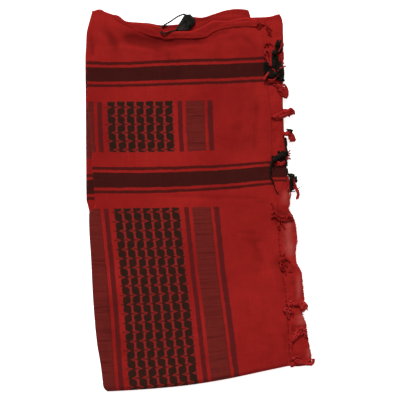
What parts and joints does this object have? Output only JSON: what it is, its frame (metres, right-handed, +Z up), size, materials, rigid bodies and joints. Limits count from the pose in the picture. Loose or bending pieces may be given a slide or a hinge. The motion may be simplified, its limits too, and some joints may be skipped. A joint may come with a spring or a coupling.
{
  "type": "folded square scarf",
  "caption": "Square red and black checked cotton scarf with knotted fringe, folded flat into a long stack.",
  "frame": {"origin": "on the resting plane, under the middle of the folded scarf's outline", "axes": "+X towards the fringed edges, +Y towards the selvages at the head, +Z up out of the stack"},
  "size_m": [0.3287, 0.559, 0.0124],
  "materials": {
    "red_cloth": "matt red cotton with a woven black check",
    "hidden_cloth": "the same cotton, in the shade between the layers",
    "red_yarn": "matt red cotton yarn",
    "black_yarn": "matt black cotton yarn"
  },
  "bodies": {
    "root": {"front_panel": "red_cloth", "second_panel": "red_cloth", "turned_margin": "red_cloth", "third_panel": "red_cloth", "back_panel": "red_cloth", "hidden_layers": "hidden_cloth", "front_tassel_1": "red_yarn", "front_tassel_2": "red_yarn", "front_tassel_3": "red_yarn", "front_tassel_4": "black_yarn", "front_tassel_5": "red_yarn", "front_tassel_6": "black_yarn", "front_tassel_7": "red_yarn", "front_tassel_8": "red_yarn", "front_tassel_9": "red_yarn", "front_tassel_10": "red_yarn", "front_tassel_11": "red_yarn", "front_tassel_12": "red_yarn", "second_tassel_1": "black_yarn", "second_tassel_2": "red_yarn", "second_tassel_3": "black_yarn", "second_tassel_4": "black_yarn", "second_tassel_5": "black_yarn", "second_tassel_6": "black_yarn", "folded_tassel": "black_yarn"}
  },
  "joints": []
}
